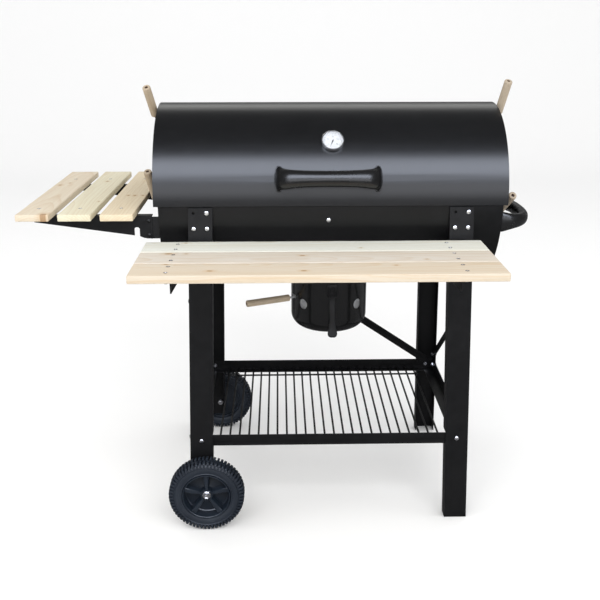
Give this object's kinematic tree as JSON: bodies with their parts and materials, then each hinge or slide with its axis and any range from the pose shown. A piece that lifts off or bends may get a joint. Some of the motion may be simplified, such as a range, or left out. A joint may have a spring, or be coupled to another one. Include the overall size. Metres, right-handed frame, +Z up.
{
  "type": "charcoal barrel grill trolley",
  "caption": "Charcoal barrel grill on a four-leg wheeled trolley: hinged half-drum lid, ash bucket with damper, slatted wooden shelves and a wire rack.",
  "frame": {"origin": "on the floor, under the centre of the whole object's bounding box", "axes": "+Z up, +Y to the back of the grill, +X to the end with the push handle"},
  "size_m": [1.1802, 0.812, 1.0545],
  "materials": {
    "black_paint": "satin black heat-resistant paint",
    "black_wire": "satin black paint on wire",
    "black_enamel": "gloss black enamel",
    "zinc_sheet": "galvanised sheet",
    "black_plastic": "semi-gloss moulded black",
    "pine": "bare planed pine",
    "beech": "bare turned dowel",
    "zinc_bolts": "bright zinc",
    "chromed_wire": "chrome-plated wire",
    "grate_steel": "bare steel wire",
    "bezel": "bright bezel",
    "dial_white": "white printed dial",
    "needle_black": "black",
    "clear_glass": "clear",
    "wheel_tread": "matt blue-black tread",
    "wheel_plastic": "moulded black"
  },
  "bodies": {
    "frame": {"ash_collar": "black_paint", "brace_rear": "black_paint", "drum_end_left": "black_paint", "drum_end_right": "black_paint", "drum_shell": "black_paint", "frame_bolts": "zinc_bolts", "front_plank_1": "pine", "front_plank_2": "pine", "front_plank_3": "pine", "front_shelf_brackets": "black_paint", "grate_supports": "black_paint", "hinge_leaves_drum": "black_paint", "hinge_pins": "zinc_bolts", "leg_front_left": "black_paint", "leg_front_right": "black_paint", "leg_rear_left": "black_paint", "leg_rear_right": "black_paint", "push_handle": "black_plastic", "rail_front": "black_paint", "rail_rear": "black_paint", "shelf_screws": "zinc_bolts", "side_braces": "black_paint", "side_rails": "black_paint", "side_shelf_brackets": "black_paint", "side_shelf_mounts": "black_paint", "side_slat_1": "pine", "side_slat_2": "pine", "side_slat_3": "pine", "wheel_axles": "zinc_bolts", "wire_rack": "black_wire"},
    "lid": {"lid_shell": "black_paint", "lid_end_left": "black_paint", "lid_end_right": "black_paint", "lid_handle": "black_plastic", "lid_handle_screws": "zinc_bolts", "thermometer_case": "bezel", "thermometer_dial": "dial_white", "thermometer_needle": "needle_black", "thermometer_glass": "clear_glass", "hinge_leaves_lid": "black_paint"},
    "lid_damper_l": {"lid_damper_left": "black_paint", "lid_damper_grip_left": "beech"},
    "lid_damper_r": {"lid_damper_right": "black_paint", "lid_damper_grip_right": "beech"},
    "grate_crank_l": {"grate_crank_left": "black_wire", "grate_crank_grip_left": "beech"},
    "grate_crank_r": {"grate_crank_right": "black_wire", "grate_crank_grip_right": "beech"},
    "charcoal_grate_l": {"charcoal_grate_left": "grate_steel"},
    "charcoal_grate_r": {"charcoal_grate_right": "grate_steel"},
    "cooking_grate_l": {"cooking_grate_left": "chromed_wire"},
    "cooking_grate_r": {"cooking_grate_right": "chromed_wire"},
    "bucket": {"ash_bucket": "black_enamel", "bucket_strap": "black_enamel"},
    "bucket_damper": {"damper_ring": "zinc_sheet", "damper_grip": "beech"},
    "wheel_front": {"wheel_tyre_front": "wheel_tread", "wheel_rim_front": "wheel_plastic"},
    "wheel_rear": {"wheel_tyre_rear": "wheel_tread", "wheel_rim_rear": "wheel_plastic"}
  },
  "joints": [
    {"name": "lid_hinge", "type": "hinge", "parent": "frame", "child": "lid", "pos_m": [0.11185, 0.321, 0.786], "axis": [-1, 0, 0], "range_deg": [0, 95]},
    {"name": "lid_damper_left_turn", "type": "hinge", "parent": "lid", "child": "lid_damper_l", "pos_m": [-0.29155, 0.101, 0.943], "axis": [1, 0, 0], "range_deg": [-60, 0]},
    {"name": "lid_damper_right_turn", "type": "hinge", "parent": "lid", "child": "lid_damper_r", "pos_m": [0.51525, 0.101, 0.943], "axis": [1, 0, 0], "range_deg": [-60, 0]},
    {"name": "grate_crank_left_turn", "type": "hinge", "parent": "frame", "child": "grate_crank_l", "pos_m": [-0.28115, 0.101, 0.69], "axis": [1, 0, 0], "range_deg": [-18, 32]},
    {"name": "grate_crank_right_turn", "type": "hinge", "parent": "frame", "child": "grate_crank_r", "pos_m": [0.50485, 0.101, 0.69], "axis": [1, 0, 0], "range_deg": [-42, 8]},
    {"name": "charcoal_grate_left_tilt", "type": "hinge", "parent": "frame", "child": "charcoal_grate_l", "pos_m": [0.10185, 0.101, 0.6982], "axis": [0, 1, 0], "range_deg": [-2.2, 3.8]},
    {"name": "charcoal_grate_right_tilt", "type": "hinge", "parent": "frame", "child": "charcoal_grate_r", "pos_m": [0.12185, 0.101, 0.6982], "axis": [0, -1, 0], "range_deg": [-5, 1]},
    {"name": "cooking_grate_left_lift", "type": "slide", "parent": "frame", "child": "cooking_grate_l", "axis": [0, 0, 1], "range_m": [0, 0.02]},
    {"name": "cooking_grate_right_lift", "type": "slide", "parent": "frame", "child": "cooking_grate_r", "axis": [0, 0, 1], "range_m": [0, 0.02]},
    {"name": "bucket_drop", "type": "slide", "parent": "frame", "child": "bucket", "axis": [0, 0, -1], "range_m": [0, 0.05]},
    {"name": "bucket_damper_turn", "type": "hinge", "parent": "bucket", "child": "bucket_damper", "pos_m": [0.11985, 0.101, 0.515], "axis": [0, 0, 1], "range_deg": [-25, 0]},
    {"name": "wheel_front_spin", "type": "hinge", "parent": "frame", "child": "wheel_front", "pos_m": [-0.18815, -0.176, 0.0915], "axis": [0, 1, 0], "continuous": true},
    {"name": "wheel_rear_spin", "type": "hinge", "parent": "frame", "child": "wheel_rear", "pos_m": [-0.18815, 0.378, 0.0915], "axis": [0, 1, 0], "continuous": true}
  ],
  "couplings": [
    {"joint": "charcoal_grate_left_tilt", "follows": "grate_crank_left_turn", "ratio": 0.1154},
    {"joint": "charcoal_grate_right_tilt", "follows": "grate_crank_right_turn", "ratio": 0.1154}
  ]
}
